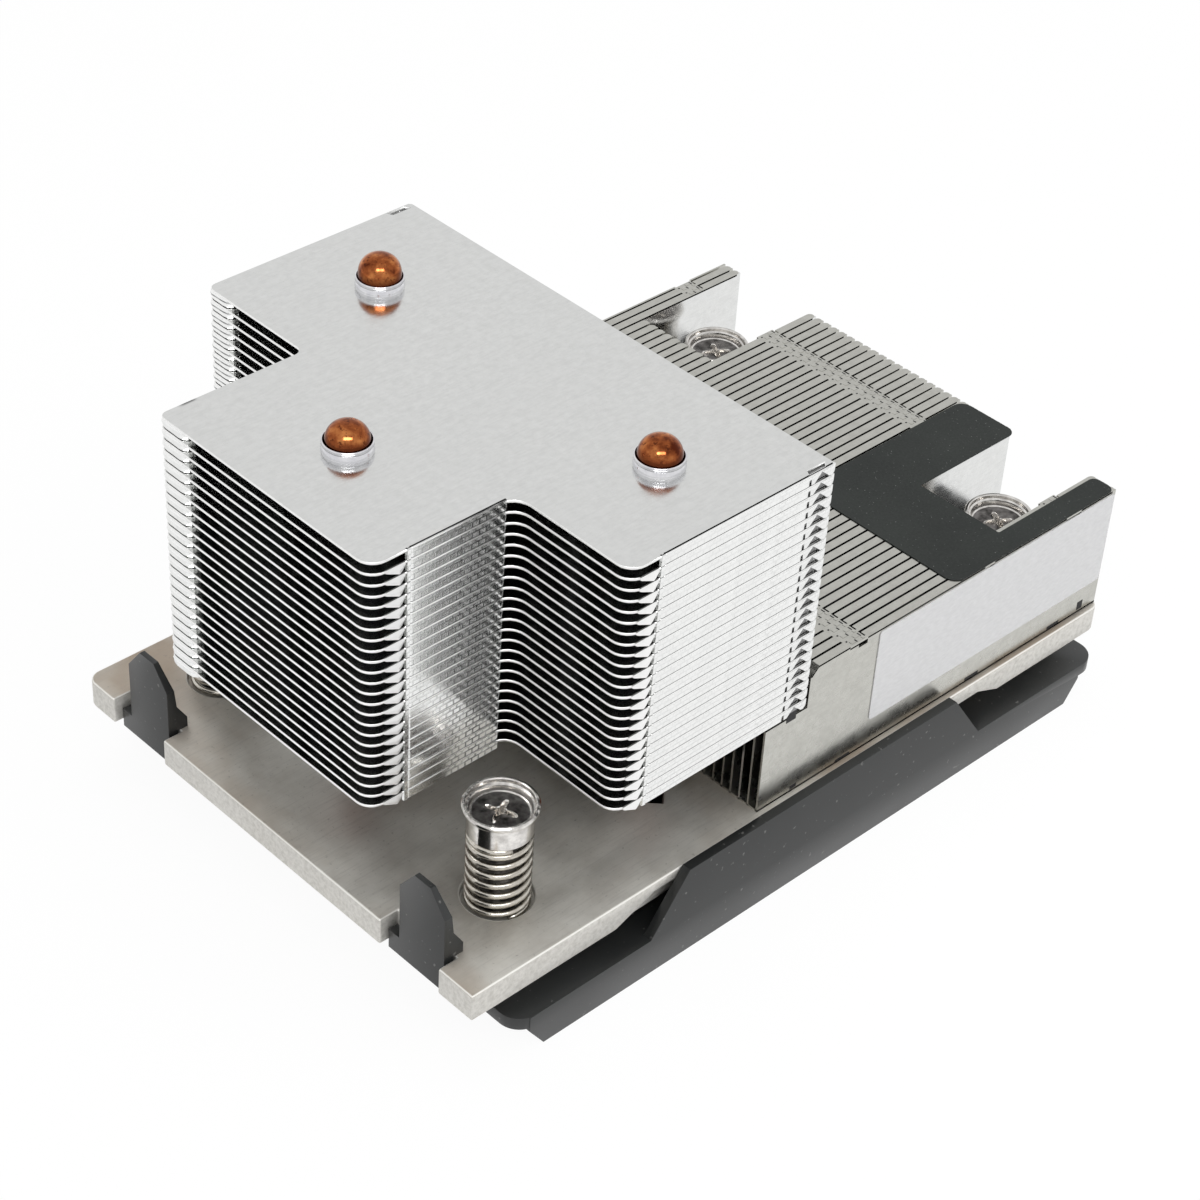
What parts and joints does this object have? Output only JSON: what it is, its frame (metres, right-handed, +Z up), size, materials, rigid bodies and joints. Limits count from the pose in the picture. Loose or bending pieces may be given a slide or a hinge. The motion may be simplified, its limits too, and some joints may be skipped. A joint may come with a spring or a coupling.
{
  "type": "passive processor heatsink",
  "caption": "Passive server processor heatsink: a T-shaped fin tower on copper heat pipes, a low fin stack, sprung captive screws and a clip-on tray under its metal plate.",
  "frame": {"origin": "centre of the contact pad's lower face, which is the centre of the screw pattern", "axes": "+X from the clip end to the far end along the length, +Y to the left when looking along +X, +Z up away from the processor"},
  "size_m": [0.1222, 0.082, 0.0717],
  "materials": {
    "plate_metal": "satin nickel finish with brown oxide marks",
    "copper": "polished copper with a darker oxide film",
    "fin_metal": "bare rolled sheet, satin",
    "black_film": "matt black film",
    "label_paper": "plain white coated paper",
    "black_plastic": "moulded, low sheen",
    "screw_metal": "bright nickel plate",
    "spring_steel": "bright spring wire"
  },
  "bodies": {
    "heatsink": {"base_plate": "plate_metal", "contact_pad": "copper", "heat_pipe_front": "copper", "heat_pipe_left": "copper", "heat_pipe_right": "copper", "tower_fin_01": "fin_metal", "tower_fin_02": "fin_metal", "tower_fin_03": "fin_metal", "tower_fin_04": "fin_metal", "tower_fin_05": "fin_metal", "tower_fin_06": "fin_metal", "tower_fin_07": "fin_metal", "tower_fin_08": "fin_metal", "tower_fin_09": "fin_metal", "tower_fin_10": "fin_metal", "tower_fin_11": "fin_metal", "tower_fin_12": "fin_metal", "tower_fin_13": "fin_metal", "tower_fin_14": "fin_metal", "tower_fin_15": "fin_metal", "tower_fin_16": "fin_metal", "tower_fin_17": "fin_metal", "tower_fin_18": "fin_metal", "tower_fin_19": "fin_metal", "tower_fin_20": "fin_metal", "tower_fin_21": "fin_metal", "tower_fin_22": "fin_metal", "tower_fin_23": "fin_metal", "tower_fin_24": "fin_metal", "lower_fin_stack": "fin_metal", "film": "black_film", "label": "label_paper", "protective_tray": "black_plastic", "spring_front_right": "spring_steel", "spring_front_left": "spring_steel", "spring_rear_right": "spring_steel", "spring_rear_left": "spring_steel"},
    "ring_front_right": {"retaining_ring_front_right": "spring_steel"},
    "screw_front_right": {"screw_front_right": "screw_metal"},
    "ring_front_left": {"retaining_ring_front_left": "spring_steel"},
    "screw_front_left": {"screw_front_left": "screw_metal"},
    "ring_rear_right": {"retaining_ring_rear_right": "spring_steel"},
    "screw_rear_right": {"screw_rear_right": "screw_metal"},
    "ring_rear_left": {"retaining_ring_rear_left": "spring_steel"},
    "screw_rear_left": {"screw_rear_left": "screw_metal"}
  },
  "joints": [
    {"name": "press_front_right", "type": "slide", "parent": "heatsink", "child": "ring_front_right", "axis": [0, 0, -1], "range_m": [0, 0.003], "stiffness_N_per_m": 1800, "springref_m": -0.005, "deforming": ["spring_front_right"]},
    {"name": "turn_front_right", "type": "hinge", "parent": "ring_front_right", "child": "screw_front_right", "pos_m": [-0.047, -0.028, 0.002], "axis": [0, 0, 1], "continuous": true},
    {"name": "press_front_left", "type": "slide", "parent": "heatsink", "child": "ring_front_left", "axis": [0, 0, -1], "range_m": [0, 0.003], "stiffness_N_per_m": 1800, "springref_m": -0.005, "deforming": ["spring_front_left"]},
    {"name": "turn_front_left", "type": "hinge", "parent": "ring_front_left", "child": "screw_front_left", "pos_m": [-0.047, 0.028, 0.002], "axis": [0, 0, 1], "continuous": true},
    {"name": "press_rear_right", "type": "slide", "parent": "heatsink", "child": "ring_rear_right", "axis": [0, 0, -1], "range_m": [0, 0.003], "stiffness_N_per_m": 1800, "springref_m": -0.005, "deforming": ["spring_rear_right"]},
    {"name": "turn_rear_right", "type": "hinge", "parent": "ring_rear_right", "child": "screw_rear_right", "pos_m": [0.047, -0.028, 0.002], "axis": [0, 0, 1], "continuous": true},
    {"name": "press_rear_left", "type": "slide", "parent": "heatsink", "child": "ring_rear_left", "axis": [0, 0, -1], "range_m": [0, 0.003], "stiffness_N_per_m": 1800, "springref_m": -0.005, "deforming": ["spring_rear_left"]},
    {"name": "turn_rear_left", "type": "hinge", "parent": "ring_rear_left", "child": "screw_rear_left", "pos_m": [0.047, 0.028, 0.002], "axis": [0, 0, 1], "continuous": true}
  ]
}
